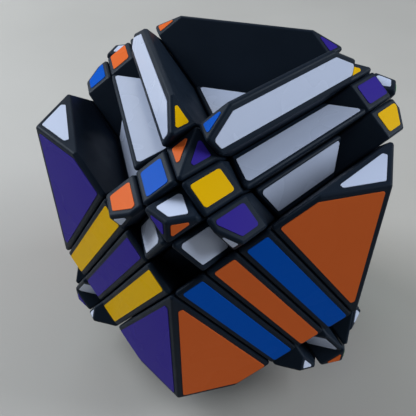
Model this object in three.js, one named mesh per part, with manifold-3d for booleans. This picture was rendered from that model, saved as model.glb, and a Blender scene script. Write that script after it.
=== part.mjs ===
// A hexagonal prism twisty puzzle with five layers on each of three square axes.
//
// Two frames are used. In the turning frame x, y and z are the three turning axes and the origin is
// the ball core. In the standing frame Z is up, the prism's own axis is vertical and the origin lies
// on the floor: the prism's axis is the space diagonal (-1, -1, 1) of the turning frame. Pieces are
// made in the turning frame and the outer group stands them up.
//
// The puzzle is held in its checker pattern: the second and fourth layer of every axis has had half
// a turn, so a piece is its cell of the cut grid filled by a prism turned with those layers.

import * as THREE from 'three';
import { mergeVertices } from 'three/addons/utils/BufferGeometryUtils.js';
import Module from 'manifold-3d';

const wasm = await Module();
wasm.setup();

// Driving dimensions, millimetres.
const LAYER = 10; // thickness of each of the three inner layers
const SIDE_REACH = 67.9; // from the core to a side face, along either turning axis that it leans on
const CAP_REACH = 64.8; // from the core to a hexagonal end face, along any turning axis
const GAP = 0.3; // between neighbouring pieces
const RIDGE_LAND = 1.5; // height taken off the ridges that the puzzle stands on

// Cut planes lie at plus and minus these distances on each turning axis.
const INNER_CUT = LAYER / 2;
const OUTER_CUT = 1.5 * LAYER;
const BEYOND = 2 * SIDE_REACH;

// The prism, in the standing frame.
const PRISM_CORNER_RADIUS = SIDE_REACH * Math.sqrt(2 / 3);
const PRISM_HEIGHT = (2 * CAP_REACH) / Math.sqrt(3);
const STAND_HEIGHT = (CAP_REACH + 2 * OUTER_CUT) / Math.sqrt(3) - RIDGE_LAND;

// Ball core, screws and springs, all measured outwards from the core along a turning axis.
const BALL_RADIUS = 11;
const ARM_RADIUS = 3.5;
const ARM_END = 12.3;
const FOOT_INNER = 12.75; // inner face of the feet that ride over the ball
const FOOT_CIRCLE = 11.8; // the front and back feet stay inside this radius
const FOOT_MARGIN = 0.8; // between a foot's sides and the cut planes or circle beside them
const SCREW_RADIUS = 1.5;
const SCREW_CLEARANCE = 0.3;
const SCREW_TIP = 3.6;
const SCREW_BORE_START = 3.2;
const SCREW_HEAD_BASE = 27;
const SCREW_HEAD_RADIUS = 2.9;
const SCREW_HEAD_HEIGHT = 2.4;
const SOCKET_RADIUS = 1.3;
const CHAMBER_RADIUS = 3.6;
const CHAMBER_FLOOR = 19;
const CHAMBER_TOP = 33;
const SPRING_WIRE = 0.8;
const SPRING_RADIUS = 2.3;
const SPRING_TURNS = 3.5;

// The webs that join pieces which always turn together.
const WEB_INNER = 18;
const WEB_OUTER = 26;
const WEB_MARGIN = 0.6; // between a web and the cuts above and below its layer
const OVERLAP = 1; // joined solids reach this far into each other

// Facets round the small turned parts.
const ROD_SIDES = 20;
const BALL_SIDES = 24;
const BALL_RINGS = 16;
const SCREW_SIDES = 16;
const SPRING_STEPS_A_TURN = 12;
const SPRING_WIRE_SIDES = 3;

const AXES = {
  x: new THREE.Vector3(1, 0, 0),
  y: new THREE.Vector3(0, 1, 0),
  z: new THREE.Vector3(0, 0, 1),
};

// Sides of the front layer, counted round z from +x, and the corners that follow each of them.
const SIDES = ['lower_left', 'lower_right', 'upper_right', 'upper_left'];
const CORNERS = ['bottom', 'right', 'top', 'left'];

const blackPlastic = new THREE.MeshStandardMaterial({ color: 0x0d0e12, roughness: 0.42, metalness: 0 });
const corePlastic = new THREE.MeshStandardMaterial({ color: 0x16171b, roughness: 0.5, metalness: 0 });
const steel = new THREE.MeshStandardMaterial({ color: 0xb4b6b9, roughness: 0.3, metalness: 1 });

// Rows are the standing frame's axes, written in the turning frame.
const standUp = new THREE.Matrix4().makeBasis(
  new THREE.Vector3(-1, 1, 0).normalize(),
  new THREE.Vector3(-1, -1, -2).normalize(),
  new THREE.Vector3(-1, -1, 1).normalize(),
).transpose();
const layDown = standUp.clone().invert();

function toSolid(geometry) {
  const bare = geometry.clone();
  bare.deleteAttribute('normal');
  bare.deleteAttribute('uv');
  const merged = mergeVertices(bare);
  const mesh = new wasm.Mesh({
    numProp: 3,
    vertProperties: new Float32Array(merged.attributes.position.array),
    triVerts: new Uint32Array(merged.index.array),
  });
  return new wasm.Manifold(mesh);
}

function toGeometry(solid) {
  const mesh = solid.getMesh();
  const geometry = new THREE.BufferGeometry();
  geometry.setAttribute('position', new THREE.BufferAttribute(mesh.vertProperties, mesh.numProp));
  geometry.setIndex(new THREE.BufferAttribute(mesh.triVerts, 1));
  const faceted = geometry.toNonIndexed();
  faceted.computeVertexNormals();
  return faceted;
}

// A box between two corners, given as three [low, high] spans.
function boxSolid(spans) {
  const size = spans.map(([low, high]) => high - low);
  const middle = spans.map(([low, high]) => (high + low) / 2);
  return toSolid(new THREE.BoxGeometry(...size).translate(...middle));
}

// A cylinder on the axis through the core in the given direction.
function rodSolid(direction, radius, start, end) {
  const rod = new THREE.CylinderGeometry(radius, radius, end - start, ROD_SIDES);
  rod.translate(0, (start + end) / 2, 0);
  return toSolid(rod.applyQuaternion(turnOnto(direction)));
}

function turnOnto(direction) {
  return new THREE.Quaternion().setFromUnitVectors(AXES.y, direction);
}

const uprightPrism = new THREE.CylinderGeometry(
  PRISM_CORNER_RADIUS,
  PRISM_CORNER_RADIUS,
  PRISM_HEIGHT,
  6,
).rotateX(Math.PI / 2);
const prism = uprightPrism.applyMatrix4(layDown);

const prismFor = {
  none: toSolid(prism),
  x: toSolid(prism.clone().rotateX(Math.PI)),
  y: toSolid(prism.clone().rotateY(Math.PI)),
  z: toSolid(prism.clone().rotateZ(Math.PI)),
};

// Everything lies between the floor and the matching height above the core.
const standingSlab = toSolid(
  new THREE.BoxGeometry(BEYOND, BEYOND, 2 * STAND_HEIGHT).applyMatrix4(layDown),
);

// A cell is three layer numbers from -2 to 2. The span of a layer keeps half a gap at each cut.
function layerSpan(layer) {
  const edges = [-BEYOND, -OUTER_CUT, -INNER_CUT, INNER_CUT, OUTER_CUT, BEYOND];
  return [edges[layer + 2] + GAP / 2, edges[layer + 3] - GAP / 2];
}

// Half turns about two axes make a half turn about the third, so one axis is always enough.
function halfTurnAxis(cell) {
  const turned = cell.map((layer) => Math.abs(layer) === 1);
  const count = turned.filter(Boolean).length;
  if (count === 0 || count === 3) {
    return 'none';
  }
  return 'xyz'[turned.indexOf(count === 1)];
}

function pieceSolid(cell) {
  const filled = boxSolid(cell.map(layerSpan)).intersect(prismFor[halfTurnAxis(cell)]);
  return filled.intersect(standingSlab);
}

function joinedSolid(cells, webs) {
  const solids = [...cells.map(pieceSolid), ...webs.map(boxSolid)];
  return solids.reduce((whole, solid) => whole.add(solid));
}

// Quarter turns about z carry the +x side to each of the four sides.
function turnCell([x, y, z], quarters) {
  let turned = [x, y];
  for (let step = 0; step < quarters; step += 1) {
    turned = [-turned[1], turned[0]];
  }
  return [...turned, z];
}

function turnSpans([x, y, z], quarters) {
  let turned = [x, y];
  for (let step = 0; step < quarters; step += 1) {
    turned = [[-turned[1][1], -turned[1][0]], turned[0]];
  }
  return [...turned, z];
}

// The pocket that a centre piece has for its screw head and spring, open towards the core.
function screwPocket(direction) {
  const bore = rodSolid(direction, SCREW_RADIUS + SCREW_CLEARANCE, 0, CHAMBER_FLOOR + OVERLAP);
  return bore.add(rodSolid(direction, CHAMBER_RADIUS, CHAMBER_FLOOR, CHAMBER_TOP));
}

// The collar that a front or back centre turns on, just off the end of the core's arm.
function centreCollar(direction) {
  return rodSolid(direction, ARM_RADIUS, FOOT_INNER, OUTER_CUT + OVERLAP);
}

// A foot reaches inwards from a front or back centre piece and slides over the ball.
function footSpans([x, y, z]) {
  const near = INNER_CUT + FOOT_MARGIN;
  const far = x !== 0 && y !== 0 ? FOOT_CIRCLE / Math.SQRT2 : FOOT_CIRCLE - FOOT_MARGIN;
  const across = INNER_CUT - FOOT_MARGIN;
  const spans = { '-1': [-far, -near], 0: [-across, across], 1: [near, far] };
  const top = OUTER_CUT + OVERLAP;
  return [spans[x], spans[y], z > 0 ? [FOOT_INNER, top] : [-top, -FOOT_INNER]];
}

const INNER_LAYERS = [-1, 0, 1];
const model = new THREE.Group();
model.applyMatrix4(standUp);
model.position.z = STAND_HEIGHT;

function addMesh(name, geometry, material) {
  const mesh = new THREE.Mesh(geometry, material);
  mesh.name = name;
  model.add(mesh);
}

function addPlasticPiece(name, solid) {
  addMesh(name, toGeometry(solid), blackPlastic);
}

function addFootedPiece(name, cell) {
  addPlasticPiece(name, pieceSolid(cell).add(boxSolid(footSpans(cell))));
}

function addFrontLayer() {
  const up = AXES.z;
  const centre = pieceSolid([0, 0, 2]).add(centreCollar(up)).subtract(screwPocket(up));
  addPlasticPiece('front_center', centre);
  SIDES.forEach((side, quarter) => {
    const before = CORNERS[(quarter + 3) % 4];
    const after = CORNERS[quarter];
    addFootedPiece(`front_t_center_${side}`, turnCell([1, 0, 2], quarter));
    addFootedPiece(`front_x_center_${after}`, turnCell([1, 1, 2], quarter));
    addPlasticPiece(`front_midge_${side}`, pieceSolid(turnCell([2, 0, 2], quarter)));
    addPlasticPiece(`front_wing_${side}_by_${before}`, pieceSolid(turnCell([2, -1, 2], quarter)));
    addPlasticPiece(`front_wing_${side}_by_${after}`, pieceSolid(turnCell([2, 1, 2], quarter)));
    addPlasticPiece(`front_corner_${after}`, pieceSolid(turnCell([2, 2, 2], quarter)));
  });
}

function addBackLayer() {
  const down = AXES.z.clone().negate();
  const depth = [-WEB_OUTER, -WEB_INNER];
  const plate = [-2 * INNER_CUT, 2 * INNER_CUT];
  const blockCells = INNER_LAYERS.flatMap((x) => INNER_LAYERS.map((y) => [x, y, -2]));
  const feet = blockCells.filter(([x, y]) => x !== 0 || y !== 0).map(footSpans);
  const block = joinedSolid(blockCells, [[plate, plate, depth], ...feet]);
  addPlasticPiece('back_center_block', block.add(centreCollar(down)).subtract(screwPocket(down)));
  SIDES.forEach((side, quarter) => {
    const rowCells = INNER_LAYERS.map((y) => turnCell([2, y, -2], quarter));
    const web = turnSpans([[WEB_INNER, WEB_OUTER], plate, depth], quarter);
    addPlasticPiece(`back_edge_row_${side}`, joinedSolid(rowCells, [web]));
    addPlasticPiece(`back_corner_${CORNERS[quarter]}`, pieceSolid(turnCell([2, 2, -2], quarter)));
  });
}

// One side of an inner layer with the edge piece that follows it.
function addSliceQuarter(name, layer, quarter) {
  const cells = [...INNER_LAYERS.map((y) => [2, y, layer]), [2, 2, layer]];
  const [low, high] = layerSpan(layer);
  const band = [low + WEB_MARGIN, high - WEB_MARGIN];
  const web = [[WEB_INNER, WEB_OUTER], [-2 * INNER_CUT, WEB_OUTER], band];
  const clearOfFeet = [Math.max(band[0], -ARM_END), Math.min(band[1], ARM_END)];
  const railEnd = FOOT_CIRCLE - FOOT_MARGIN;
  const rail = [[FOOT_INNER, OUTER_CUT + OVERLAP], [-railEnd, railEnd], clearOfFeet];
  let solid = joinedSolid(
    cells.map((cell) => turnCell(cell, quarter)),
    [web, rail].map((spans) => turnSpans(spans, quarter)),
  );
  if (layer === 0) {
    solid = solid.subtract(screwPocket(outward(quarter)));
  }
  addPlasticPiece(name, solid);
}

function outward(quarter) {
  return AXES.x.clone().applyAxisAngle(AXES.z, (quarter * Math.PI) / 2).round();
}

function addSlices() {
  const slices = [['front_slice', 1], ['middle_slice', 0], ['back_slice', -1]];
  for (const [slice, layer] of slices) {
    CORNERS.forEach((corner, quarter) => {
      addSliceQuarter(`${slice}_quarter_${corner}`, layer, quarter);
    });
  }
}

const screwDirections = [
  ['front', AXES.z.clone()],
  ['back', AXES.z.clone().negate()],
  ...SIDES.map((side, quarter) => [side, outward(quarter)]),
];

function addCore() {
  const boreRadius = SCREW_RADIUS + SCREW_CLEARANCE;
  let core = toSolid(new THREE.SphereGeometry(BALL_RADIUS, BALL_SIDES, BALL_RINGS));
  for (const [, direction] of screwDirections) {
    core = core.add(rodSolid(direction, ARM_RADIUS, 0, ARM_END));
  }
  for (const [, direction] of screwDirections) {
    core = core.subtract(rodSolid(direction, boreRadius, SCREW_BORE_START, ARM_END + OVERLAP));
  }
  addMesh('core', toGeometry(core), corePlastic);
}

function screwGeometry() {
  const headTop = SCREW_HEAD_BASE + SCREW_HEAD_HEIGHT;
  const profile = [
    [0, SCREW_TIP],
    [SCREW_RADIUS, SCREW_TIP],
    [SCREW_RADIUS, SCREW_HEAD_BASE],
    [SCREW_HEAD_RADIUS, SCREW_HEAD_BASE],
    [SCREW_HEAD_RADIUS, headTop],
    [SOCKET_RADIUS, headTop],
    [SOCKET_RADIUS, headTop - SCREW_HEAD_HEIGHT / 2],
    [0, headTop - SCREW_HEAD_HEIGHT / 2],
  ];
  return new THREE.LatheGeometry(profile.map(([r, h]) => new THREE.Vector2(r, h)), SCREW_SIDES);
}

class SpringCurve extends THREE.Curve {
  getPoint(t, target = new THREE.Vector3()) {
    const low = CHAMBER_FLOOR + GAP + SPRING_WIRE / 2;
    const high = SCREW_HEAD_BASE - GAP - SPRING_WIRE / 2;
    const angle = 2 * Math.PI * SPRING_TURNS * t;
    const height = low + (high - low) * t;
    return target.set(SPRING_RADIUS * Math.cos(angle), height, SPRING_RADIUS * Math.sin(angle));
  }
}

function springGeometry() {
  const wire = new THREE.Shape().absarc(0, 0, SPRING_WIRE / 2, 0, 2 * Math.PI);
  return new THREE.ExtrudeGeometry(wire, {
    steps: Math.round(SPRING_TURNS * SPRING_STEPS_A_TURN),
    curveSegments: SPRING_WIRE_SIDES,
    extrudePath: new SpringCurve(),
  });
}

function addScrewsAndSprings() {
  for (const [side, direction] of screwDirections) {
    addMesh(`screw_${side}`, screwGeometry().applyQuaternion(turnOnto(direction)), steel);
    addMesh(`spring_${side}`, springGeometry().applyQuaternion(turnOnto(direction)), steel);
  }
}

addFrontLayer();
addSlices();
addBackLayer();
addCore();
addScrewsAndSprings();

export default model;
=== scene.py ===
"""The finished look of a hexagonal prism twisty puzzle, held in its checker pattern.

Pieces are worked out in the turning frame, whose axes x, y and z are the three axes that layers
turn about, with the ball core at the origin. The prism's own axis is the space diagonal
(-1, -1, 1) of that frame. place() stands a point up in the shared frame.
"""

import itertools
import math

import bpy
from mathutils import Matrix, Vector


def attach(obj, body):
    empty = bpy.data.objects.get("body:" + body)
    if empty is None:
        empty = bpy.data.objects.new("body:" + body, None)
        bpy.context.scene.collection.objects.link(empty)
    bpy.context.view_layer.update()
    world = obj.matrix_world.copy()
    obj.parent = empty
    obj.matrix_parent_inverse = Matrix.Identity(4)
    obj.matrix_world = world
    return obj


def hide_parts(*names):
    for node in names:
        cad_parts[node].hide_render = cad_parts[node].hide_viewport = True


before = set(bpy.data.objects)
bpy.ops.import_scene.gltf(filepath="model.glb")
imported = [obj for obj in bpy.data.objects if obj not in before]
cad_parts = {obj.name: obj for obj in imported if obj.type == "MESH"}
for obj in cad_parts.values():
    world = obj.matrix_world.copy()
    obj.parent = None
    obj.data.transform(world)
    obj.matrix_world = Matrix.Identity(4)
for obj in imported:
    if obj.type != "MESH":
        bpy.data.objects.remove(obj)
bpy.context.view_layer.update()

# Driving dimensions in metres, the same as the CAD part's.
LAYER = 0.010
SIDE_REACH = 0.0679
CAP_REACH = 0.0648
GAP = 0.0003
RIDGE_LAND = 0.0015
INNER_CUT = LAYER / 2
OUTER_CUT = 1.5 * LAYER
STAND_HEIGHT = (CAP_REACH + 2 * OUTER_CUT) / math.sqrt(3) - RIDGE_LAND

# The turning frame, and how it stands in the shared frame.
PRISM_AXIS = Vector((-1, -1, 1))
STAND_UP = Matrix((
    Vector((-1, 1, 0)).normalized(),
    Vector((-1, -1, -2)).normalized(),
    PRISM_AXIS.normalized(),
))
CORE = Vector((0, 0, STAND_HEIGHT))

# The prism's faces in the turning frame: direction, reach and sticker.
PRISM_FACES = (
    ((-1, -1, 1), CAP_REACH, "white"),
    ((1, 1, -1), CAP_REACH, "white"),
    ((1, 0, 1), SIDE_REACH, "purple"),
    ((0, 1, 1), SIDE_REACH, "orange"),
    ((-1, 0, -1), SIDE_REACH, "yellow"),
    ((0, -1, -1), SIDE_REACH, "blue"),
    ((-1, 1, 0), SIDE_REACH, "green"),
    ((1, -1, 0), SIDE_REACH, "red"),
)

# What the CAD nodes call the sides and corners of a layer.
SIDES = ("lower_left", "lower_right", "upper_right", "upper_left")
CORNERS = ("bottom", "right", "top", "left")

# Shapes of the moulded pieces and their stickers.
EDGE_RADIUS = 0.0009
EDGE_STEPS = 4
STICKER_MARGIN = 0.0018
SMALL_STICKER_MARGIN = 0.52  # as a share of the largest circle that fits in a small face
STICKER_CORNER = 0.0008
SMALL_STICKER_CORNER = 0.35  # as a share of the room that the margin leaves
STICKER_CORNER_STEPS = 5
STICKER_THICKNESS = 0.00016
STICKER_LIP = 0.00005

# How exact the geometry is: lengths in metres, then a sine or determinant that counts as zero.
SAME_POINT = 1e-7
TOUCHING = 10 * SAME_POINT
CIRCLE_ERROR = 1e-5
PARALLEL = 1e-6
OPPOSITE_COSINE = -0.99  # two planes that face away from each other more than this share no edge

# Colours, with the darker one first where a surface drifts between two.
# The black plastic's two colours are its own near black, lifted and tinted blue as painted sheen
# that stands in for the reflection the low PLASTIC_IOR leaves out.
PLASTIC_DARK_WITH_PAINTED_SHEEN = (0.0070, 0.0120, 0.0215, 1)
PLASTIC_LIGHT_WITH_PAINTED_SHEEN = (0.0084, 0.0142, 0.0250, 1)
CORE_DARK = (0.012, 0.013, 0.016, 1)
CORE_LIGHT = (0.018, 0.019, 0.023, 1)
PLASTIC_SHEEN = (0.75, 0.88, 1.0, 1)

# The plastic and the coloured vinyl mirror less than real ones do, because the photograph shows
# almost no reflection on them.
PLASTIC_IOR = 1.16
COLOUR_IOR = 1.07
WHITE_IOR = 1.5

# Each vinyl's darker and lighter colour and its index of refraction.
VINYL_LOOKS = {
    "white": ((0.47, 0.535, 0.705, 1), (0.48, 0.545, 0.715, 1), WHITE_IOR),
    "purple": ((0.033, 0.020, 0.25, 1), (0.036, 0.022, 0.27, 1), COLOUR_IOR),
    "orange": ((0.67, 0.128, 0.027, 1), (0.70, 0.135, 0.030, 1), COLOUR_IOR),
    "yellow": ((0.76, 0.44, 0.002, 1), (0.80, 0.46, 0.002, 1), COLOUR_IOR),
    "blue": ((0.001, 0.081, 0.47, 1), (0.001, 0.086, 0.50, 1), COLOUR_IOR),
    "green": ((0.007, 0.28, 0.065, 1), (0.008, 0.30, 0.07, 1), COLOUR_IOR),
    "red": ((0.49, 0.011, 0.016, 1), (0.52, 0.012, 0.018, 1), COLOUR_IOR),
}
FLOOR_DARK = (0.37, 0.36, 0.34, 1)
FLOOR_LIGHT = (0.40, 0.39, 0.37, 1)

# The round stage: a flat floor, a bend and a wall, in metres.
FLOOR_RADIUS = 0.9
WALL_BEND = 0.3
WALL_TOP = 0.9
BEND_STEPS = 12
STAGE_SIDES = 96

# Soft lights round the puzzle: name, azimuth and elevation in degrees, and power in watts.
# Their distance from the core and their size are in metres.
SOFTBOXES = (
    ("left", -100, 31, 9.0),
    ("left_back", -150, 40, 1.2),
    ("right", 107, 29, 7.0),
    ("front", -10, 66, 0.7),
)
SOFTBOX_DISTANCE = 0.9
SOFTBOX_SIZE = 0.5
SOFTBOX_COLOUR = (0.90, 0.95, 1.0)
SKY_STRENGTH = 0.11
SKY_COLOUR = (0.80, 0.90, 1.0, 1)

# The photograph's camera: degrees and metres from the core, and millimetres for the lens.
CAMERA_AZIMUTH = 13.46
CAMERA_ELEVATION = 39.83
CAMERA_DISTANCE = 0.1815
CAMERA_AIM = Vector((-0.00497, -0.00374, -0.00258))
CAMERA_SENSOR = 36.0
CAMERA_LENS = 45.8


def place(point):
    """A point of the turning frame, in the shared frame."""
    return STAND_UP @ point + CORE


# ---------------------------------------------------------------- geometry of one piece

def half_turn_axis(cell):
    """The one axis whose half turn took this piece to its cell, or None.

    A piece in one turned layer went round that layer's axis. A piece in two of them went round
    both, which is the same as half a turn about the third. Three such turns cancel out.
    """
    turned = [abs(layer) == 1 for layer in cell]
    count = sum(turned)
    if count in (0, 3):
        return None
    return turned.index(count == 1)


def half_turned(direction, axis):
    """The direction after half a turn about an axis, or unchanged where the axis is None."""
    if axis is None:
        return Vector(direction)
    return Vector([v if i == axis else -v for i, v in enumerate(direction)])


def cell_planes(cell):
    """Half spaces that bound a piece: unit normal, distance from the core, sticker or None."""
    axis = half_turn_axis(cell)
    planes = []
    for direction, reach, colour in PRISM_FACES:
        normal = half_turned(direction, axis)
        planes.append((normal.normalized(), reach / normal.length, colour))
    cuts = (None, -OUTER_CUT, -INNER_CUT, INNER_CUT, OUTER_CUT, None)
    for i, layer in enumerate(cell):
        low, high = cuts[layer + 2], cuts[layer + 3]
        along = Vector([float(i == j) for j in range(3)])
        if high is not None:
            planes.append((along, high - GAP / 2, None))
        if low is not None:
            planes.append((-along, -low - GAP / 2, None))
    upright = PRISM_AXIS.normalized()
    planes.append((upright, STAND_HEIGHT, None))
    planes.append((-upright, STAND_HEIGHT, None))
    return planes


def meeting_point(a, b, c):
    """The point that three planes share, or None where they don't meet in one point."""
    rows = Matrix((a[0], b[0], c[0]))
    if abs(rows.determinant()) < PARALLEL:
        return None
    return rows.inverted() @ Vector((a[1], b[1], c[1]))


def solid_corners(planes):
    """Each corner of the convex solid, with the indices of the planes that meet there."""
    corners = []
    for trio in itertools.combinations(range(len(planes)), 3):
        point = meeting_point(*(planes[i] for i in trio))
        if point is None:
            continue
        if any(n.dot(point) > d + SAME_POINT for n, d, _ in planes):
            continue
        if any((point - other).length < TOUCHING for other, _ in corners):
            continue
        meeting = [i for i, (n, d, _) in enumerate(planes) if n.dot(point) > d - TOUCHING]
        corners.append((point, meeting))
    return corners


def around(normal, items, position):
    """Items in order round a normal, by where they lie about their middle."""
    places = [position(item) for item in items]
    middle = sum(places, Vector()) / len(places)
    first = (places[0] - middle).cross(normal).normalized()
    second = normal.cross(first)
    angles = [math.atan2((p - middle).dot(second), (p - middle).dot(first)) for p in places]
    return [item for _, item in sorted(zip(angles, items), key=lambda pair: pair[0])]


def rounded_solid(planes, radius):
    """A convex solid with every edge and corner rounded: vertices, their normals, and faces."""
    shrunk = [(n, d - radius, colour) for n, d, colour in planes]
    corners = solid_corners(shrunk)
    points, normals, faces, index = [], [], [], {}

    def vertex(corner, weights):
        """The point where the ball at a corner faces the blend of the given planes' normals."""
        key = (corner, tuple(sorted((p, w) for p, w in weights if w)))
        if key not in index:
            direction = sum((planes[p][0] * w for p, w in weights), Vector()).normalized()
            index[key] = len(points)
            points.append(corners[corner][0] + direction * radius)
            normals.append(direction)
        return index[key]

    def ball_patch(corner, a, b, c):
        """The part of the ball at a corner that lies between three planes' normals."""
        rows = []
        for i in range(EDGE_STEPS + 1):
            row = []
            for j in range(EDGE_STEPS + 1 - i):
                row.append(vertex(corner, ((a, EDGE_STEPS - i - j), (b, i), (c, j))))
            rows.append(row)
        for low, high in zip(rows, rows[1:]):
            for j in range(len(high)):
                faces.append((low[j], high[j], low[j + 1]))
                if j + 1 < len(high):
                    faces.append((high[j], high[j + 1], low[j + 1]))

    def edge_strip(near, far, one, other):
        """The rounding along the edge from a near to a far corner, from one plane to the other."""
        for i in range(EDGE_STEPS):
            now = ((one, EDGE_STEPS - i), (other, i))
            after = ((one, EDGE_STEPS - i - 1), (other, i + 1))
            ends = (vertex(near, now), vertex(near, after), vertex(far, after), vertex(far, now))
            faces.append(ends)

    for number, (_, meeting) in enumerate(corners):
        outward = sum((planes[p][0] for p in meeting), Vector()).normalized()
        ring = around(outward, meeting, lambda p: planes[p][0])
        for b, c in zip(ring[1:], ring[2:]):
            ball_patch(number, ring[0], b, c)
    for number, (normal, _, _) in enumerate(planes):
        on_face = [k for k, (_, meeting) in enumerate(corners) if number in meeting]
        if len(on_face) < 3:
            continue
        ring = around(normal, on_face, lambda k: corners[k][0])
        faces.append(tuple(vertex(k, ((number, EDGE_STEPS),)) for k in ring))
        for near, far in zip(ring, ring[1:] + ring[:1]):
            for other in set(corners[near][1]) & set(corners[far][1]):
                if other > number:
                    edge_strip(near, far, number, other)
    return points, normals, faces


def face_outline(planes, number, margin):
    """The outline left on one face when each of its edges is moved in by its margin."""
    normal, reach, _ = planes[number]
    first = normal.orthogonal().normalized()
    second = normal.cross(first)
    wide = 4 * SIDE_REACH
    square = ((1, 1), (-1, 1), (-1, -1), (1, -1))
    outline = [normal * reach + (first * s + second * t) * wide for s, t in square]
    for other, (side, limit, _) in enumerate(planes):
        slope = math.sqrt(max(0.0, 1 - side.dot(normal) ** 2))
        if other == number or slope < PARALLEL:
            continue
        bound = limit - margin(side.dot(normal)) * slope
        kept = []
        for a, b in zip(outline, outline[1:] + outline[:1]):
            over_a, over_b = side.dot(a) - bound, side.dot(b) - bound
            if over_a <= 0:
                kept.append(a)
            if (over_a < 0) != (over_b < 0):
                kept.append(a.lerp(b, over_a / (over_a - over_b)))
        outline = kept
        if len(outline) < 3:
            return []
    return outline


def rounded_outline(outline, normal, radius):
    """The outline grown by a radius, with round corners."""
    middle = sum(outline, Vector()) / len(outline)
    ring = around(normal, outline, lambda point: point)
    points = []
    for before, here, after in zip(ring[-1:] + ring[:-1], ring, ring[1:] + ring[:1]):
        arrive = (here - before).cross(normal).normalized()
        leave = (after - here).cross(normal).normalized()
        if arrive.dot(here - middle) < 0:
            arrive, leave = -arrive, -leave
        for i in range(STICKER_CORNER_STEPS + 1):
            blend = i / STICKER_CORNER_STEPS
            points.append(here + (arrive * (1 - blend) + leave * blend).normalized() * radius)
    return points


def largest_circle(planes, number):
    """The radius of the largest circle that fits in a face."""
    low, high = 0.0, SIDE_REACH
    while high - low > CIRCLE_ERROR:
        middle = (low + high) / 2
        if face_outline(planes, number, lambda cosine: middle):
            low = middle
        else:
            high = middle
    return low


def sticker_ring(planes, number):
    """The outline of the sticker on a face, with round corners, or None where there is no room."""
    room = largest_circle(planes, number)
    margin = min(STICKER_MARGIN, SMALL_STICKER_MARGIN * room)
    corner = min(STICKER_CORNER, SMALL_STICKER_CORNER * (room - margin))

    def inset(cosine):
        """The margin and the corner, clear of where the rounding of that edge starts."""
        rounding = 0.0
        if cosine > OPPOSITE_COSINE:
            rounding = EDGE_RADIUS * math.sqrt((1 - cosine) / (1 + cosine))
        return max(margin - GAP / 2, rounding + GAP / 2) + corner

    outline = face_outline(planes, number, inset)
    if not outline:
        return None
    return rounded_outline(outline, planes[number][0], corner)


# ---------------------------------------------------------------- materials

def shader(name, **values):
    """A new material, its node tree and its surface shader with the given socket values."""
    material = bpy.data.materials.new(name)
    material.use_nodes = True
    tree = material.node_tree
    surface = tree.nodes["Principled BSDF"]
    for socket, value in values.items():
        surface.inputs[socket.replace("_", " ")].default_value = value
    return material, tree, surface


def noise(tree, scale, detail=3.0, roughness=0.5):
    """Noise on the object's own coordinates, with a scale in features per metre."""
    coordinates = tree.nodes.new("ShaderNodeTexCoord")
    texture = tree.nodes.new("ShaderNodeTexNoise")
    texture.inputs["Scale"].default_value = scale
    texture.inputs["Detail"].default_value = detail
    texture.inputs["Roughness"].default_value = roughness
    tree.links.new(coordinates.outputs["Object"], texture.inputs["Vector"])
    return texture.outputs["Fac"]


def ramp(tree, source, low, high, start=0.35, end=0.65):
    """A blend from one colour to another as the source goes from start to end."""
    node = tree.nodes.new("ShaderNodeValToRGB")
    node.color_ramp.elements[0].position = start
    node.color_ramp.elements[1].position = end
    node.color_ramp.elements[0].color = low
    node.color_ramp.elements[1].color = high
    tree.links.new(source, node.inputs["Fac"])
    return node.outputs["Color"]


def grey(value):
    return (value, value, value, 1)


def bump(tree, surface, source, strength, distance):
    node = tree.nodes.new("ShaderNodeBump")
    node.inputs["Strength"].default_value = strength
    node.inputs["Distance"].default_value = distance
    tree.links.new(source, node.inputs["Height"])
    tree.links.new(node.outputs["Normal"], surface.inputs["Normal"])


def moulded_plastic(name, dark, light, smooth, rough):
    """Satin moulded plastic: fine spark texture, and handling marks that change its shine."""
    material, tree, surface = shader(name, IOR=PLASTIC_IOR, Specular_Tint=PLASTIC_SHEEN)
    drift = ramp(tree, noise(tree, scale=60.0), dark, light)
    tree.links.new(drift, surface.inputs["Base Color"])
    handling = noise(tree, scale=110.0, detail=5.0, roughness=0.6)
    tree.links.new(ramp(tree, handling, grey(smooth), grey(rough)), surface.inputs["Roughness"])
    spark = noise(tree, scale=3500.0, detail=2.0)
    bump(tree, surface, spark, strength=0.2, distance=0.00005)
    return material


def vinyl(name, dark, light, ior):
    """Sticker vinyl: even colour with a little drift, a soft gloss and a slight orange peel."""
    material, tree, surface = shader(name, IOR=ior)
    drift = ramp(tree, noise(tree, scale=25.0, detail=1.0), dark, light, start=0.2, end=0.8)
    tree.links.new(drift, surface.inputs["Base Color"])
    handling = noise(tree, scale=60.0, detail=1.0)
    shine = ramp(tree, handling, grey(0.25), grey(0.29), start=0.2, end=0.8)
    tree.links.new(shine, surface.inputs["Roughness"])
    bump(tree, surface, noise(tree, scale=140.0, detail=0.0), strength=0.02, distance=0.00004)
    return material


def bright_steel(name):
    """Plated steel with fine turning marks."""
    material, tree, surface = shader(name, Metallic=1.0)
    plating = ramp(tree, noise(tree, scale=300.0), grey(0.5), grey(0.66))
    tree.links.new(plating, surface.inputs["Base Color"])
    shine = ramp(tree, noise(tree, scale=900.0), grey(0.22), grey(0.38))
    tree.links.new(shine, surface.inputs["Roughness"])
    bump(tree, surface, noise(tree, scale=2500.0), strength=0.2, distance=0.00003)
    return material


def pale_floor():
    material, tree, surface = shader("pale_floor", Roughness=0.6)
    drift = ramp(tree, noise(tree, scale=6.0), FLOOR_DARK, FLOOR_LIGHT)
    tree.links.new(drift, surface.inputs["Base Color"])
    return material


# The black plastic's base colour carries a painted bluish sheen on top of its own near black.
BLACK = moulded_plastic("black_plastic", PLASTIC_DARK_WITH_PAINTED_SHEEN, PLASTIC_LIGHT_WITH_PAINTED_SHEEN, smooth=0.40, rough=0.50)
CORE_BLACK = moulded_plastic("core_plastic", CORE_DARK, CORE_LIGHT, smooth=0.4, rough=0.55)
STEEL = bright_steel("steel")
VINYLS = {colour: vinyl(f"vinyl_{colour}", *look) for colour, look in VINYL_LOOKS.items()}


# ---------------------------------------------------------------- meshes

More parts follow.
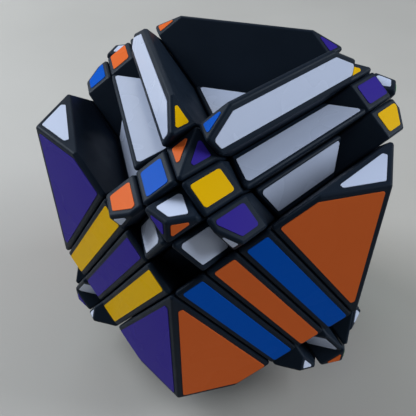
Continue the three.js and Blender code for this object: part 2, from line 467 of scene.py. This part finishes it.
def add_mesh(name, points, faces, material, normals=None):
    """An object made of points in the turning frame, smooth where normals are given."""
    mesh = bpy.data.meshes.new(name)
    mesh.from_pydata([place(p) for p in points], [], faces)
    mesh.materials.append(material)
    made = bpy.data.objects.new(name, mesh)
    bpy.context.scene.collection.objects.link(made)
    for polygon in mesh.polygons:
        polygon.use_smooth = normals is not None
    if normals is not None:
        mesh.normals_split_custom_set_from_vertices([STAND_UP @ n for n in normals])
    mesh.validate()
    mesh.update()
    return made


def facing_out(points, faces):
    """The faces, each wound anticlockwise as seen from outside a convex shape."""
    centre = sum(points, Vector()) / len(points)
    turned = []
    for face in faces:
        middle = sum((points[i] for i in face), Vector()) / len(face)
        normal = Vector()
        for i, j in zip(face, face[1:] + face[:1]):
            normal += points[i].cross(points[j])
        turned.append(face if normal.dot(middle - centre) > 0 else face[::-1])
    return turned


def add_cubie(name, planes, body, node):
    """One moulded piece, in place of the CAD node that holds it."""
    points, normals, faces = rounded_solid(planes, EDGE_RADIUS)
    cubie = add_mesh(name, points, facing_out(points, faces), BLACK, normals)
    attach(cubie, body)
    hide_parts(node)


def add_sticker(name, planes, number, body):
    """The sticker on one face: three rings of points from just inside the plastic to its top."""
    ring = sticker_ring(planes, number)
    if ring is None:
        return
    normal, _, colour = planes[number]
    middle = sum(ring, Vector()) / len(ring)
    inner = [p + (middle - p).normalized() * STICKER_LIP for p in ring]
    levels = (
        [p - normal * STICKER_THICKNESS / 2 for p in ring],
        [p + normal * (STICKER_THICKNESS - STICKER_LIP) for p in ring],
        [p + normal * STICKER_THICKNESS for p in inner],
    )
    points = [p for level in levels for p in level]
    count = len(ring)
    faces = [tuple(range(count)), tuple(range(2 * count, 3 * count))]
    for level in range(len(levels) - 1):
        for i in range(count):
            j = (i + 1) % count
            base = level * count
            faces.append((base + i, base + j, base + count + j, base + count + i))
    sticker = add_mesh(name, points, facing_out(points, faces), VINYLS[colour])
    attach(sticker, body)


# ---------------------------------------------------------------- where each piece belongs

def side_number(x, y):
    """0 to 3 for a cell on side +x, +y, -x or -y of its layer."""
    if abs(x) >= abs(y):
        return 0 if x > 0 else 2
    return 1 if y > 0 else 3


def corner_number(x, y):
    """0 to 3 for a cell towards corner +x +y, -x +y, -x -y or +x -y of its layer."""
    if y > 0:
        return 0 if x > 0 else 1
    return 2 if x < 0 else 3


def front_node(x, y):
    """The CAD node of a front layer piece."""
    if x == 0 and y == 0:
        return "front_center"
    if abs(x) == abs(y):
        kind = "corner" if abs(x) == 2 else "x_center"
        return f"front_{kind}_{CORNERS[corner_number(x, y)]}"
    side = SIDES[side_number(x, y)]
    if 0 in (x, y):
        kind = "midge" if 2 in (abs(x), abs(y)) else "t_center"
        return f"front_{kind}_{side}"
    return f"front_wing_{side}_by_{CORNERS[corner_number(x, y)]}"


def back_node(x, y):
    """The CAD node that holds a back layer piece."""
    if max(abs(x), abs(y)) < 2:
        return "back_center_block"
    if abs(x) == abs(y):
        return f"back_corner_{CORNERS[corner_number(x, y)]}"
    return f"back_edge_row_{SIDES[side_number(x, y)]}"


def slice_node(slice_name, x, y):
    """Each quarter of a slice is one side and the corner that follows it."""
    if abs(x) == abs(y):
        quarter = corner_number(x, y)
    else:
        quarter = side_number(x, y)
    return f"{slice_name}_quarter_{CORNERS[quarter]}"


def cad_home(cell):
    """The CAD node and body that hold a cell's piece."""
    x, y, z = cell
    if z == 2:
        return front_node(x, y), "front_layer"
    if z == -2:
        return back_node(x, y), "back_layer"
    slice_name = ("back_slice", "middle_slice", "front_slice")[z + 1]
    return slice_node(slice_name, x, y), "root" if z == 0 else slice_name


def is_bare(cell, colour):
    """True on the end face of an X centre that lies under an end face in the solved shape."""
    if colour != "white" or sorted(map(abs, cell)) != [1, 1, 2]:
        return False
    home = half_turned(cell, half_turn_axis(cell))
    return abs(home.dot(PRISM_AXIS)) == sum(map(abs, cell))


def piece_name(cell):
    """The kind of piece, and a letter from a to e for its layer on each axis."""
    reaches = [abs(layer) for layer in cell]
    if reaches.count(2) == 3:
        kind = "corner"
    elif reaches.count(2) == 2:
        kind = "wing" if 1 in reaches else "midge"
    elif reaches.count(0) == 2:
        kind = "center"
    else:
        kind = "t_center" if 0 in reaches else "x_center"
    letters = "".join("abcde"[layer + 2] for layer in cell)
    return f"{kind}_{letters}"


def add_piece(cell):
    """The moulded piece of one cell, with its stickers."""
    planes = cell_planes(cell)
    node, body = cad_home(cell)
    name = piece_name(cell)
    add_cubie(name, planes, body, node)
    for number, (_, _, colour) in enumerate(planes):
        if colour is not None and not is_bare(cell, colour):
            add_sticker(f"sticker_{name}_{colour}_{number}", planes, number, body)


def node_material(name):
    """The material of a CAD node."""
    if name == "core":
        return CORE_BLACK
    if name.startswith(("screw", "spring")):
        return STEEL
    return BLACK


# ---------------------------------------------------------------- floor, light and camera

def add_stage():
    """A round pale floor that curves up into a wall all round the puzzle."""
    profile = [(FLOOR_RADIUS, 0.0)]
    for i in range(1, BEND_STEPS + 1):
        angle = math.pi / 2 * i / BEND_STEPS
        radius = FLOOR_RADIUS + WALL_BEND * math.sin(angle)
        profile.append((radius, WALL_BEND * (1 - math.cos(angle))))
    profile.append((FLOOR_RADIUS + WALL_BEND, WALL_TOP))
    points = []
    for radius, height in profile:
        for i in range(STAGE_SIDES):
            angle = 2 * math.pi * i / STAGE_SIDES
            points.append((radius * math.cos(angle), radius * math.sin(angle), height))
    faces = [tuple(range(STAGE_SIDES))]
    for level in range(len(profile) - 1):
        low, high = level * STAGE_SIDES, (level + 1) * STAGE_SIDES
        for i in range(STAGE_SIDES):
            j = (i + 1) % STAGE_SIDES
            faces.append((low + i, low + j, high + j, high + i))
    mesh = bpy.data.meshes.new("stage")
    mesh.from_pydata(points, [], faces)
    mesh.materials.append(pale_floor())
    for polygon in mesh.polygons[1:]:
        polygon.use_smooth = True
    stage = bpy.data.objects.new("stage", mesh)
    bpy.context.scene.collection.objects.link(stage)


def towards(azimuth, elevation, distance):
    """The point at a distance from the core; azimuth 0 is the front and 90 the right."""
    turn, rise = math.radians(azimuth), math.radians(elevation)
    flat = distance * math.cos(rise)
    offset = (flat * math.sin(turn), -flat * math.cos(turn), distance * math.sin(rise))
    return CORE + Vector(offset)


def aim(thing, target):
    thing.rotation_euler = (target - thing.location).to_track_quat("-Z", "Y").to_euler()


def add_softbox(name, azimuth, elevation, power):
    data = bpy.data.lights.new(name, "AREA")
    data.shape = "SQUARE"
    data.size = SOFTBOX_SIZE
    data.energy = power
    data.color = SOFTBOX_COLOUR
    softbox = bpy.data.objects.new(name, data)
    softbox.location = towards(azimuth, elevation, SOFTBOX_DISTANCE)
    bpy.context.scene.collection.objects.link(softbox)
    aim(softbox, CORE)


def add_sky():
    world = bpy.data.worlds.new("room")
    world.use_nodes = True
    background = world.node_tree.nodes["Background"]
    background.inputs["Color"].default_value = SKY_COLOUR
    background.inputs["Strength"].default_value = SKY_STRENGTH
    bpy.context.scene.world = world


def add_camera():
    """A phone held in front of the puzzle, a little to its right and above it."""
    data = bpy.data.cameras.new("camera")
    data.sensor_width = CAMERA_SENSOR
    data.lens = CAMERA_LENS
    data.dof.use_dof = False
    camera = bpy.data.objects.new("camera", data)
    camera.location = towards(CAMERA_AZIMUTH, CAMERA_ELEVATION, CAMERA_DISTANCE)
    aim(camera, CORE + CAMERA_AIM)
    bpy.context.scene.collection.objects.link(camera)
    bpy.context.scene.camera = camera


# ---------------------------------------------------------------- the scene

for cell in itertools.product(range(-2, 3), repeat=3):
    if 2 in map(abs, cell):
        add_piece(cell)

for name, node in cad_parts.items():
    node.data.materials.clear()
    node.data.materials.append(node_material(name))

add_stage()
for softbox in SOFTBOXES:
    add_softbox(*softbox)
add_sky()
add_camera()
bpy.context.scene.view_settings.view_transform = "Standard"
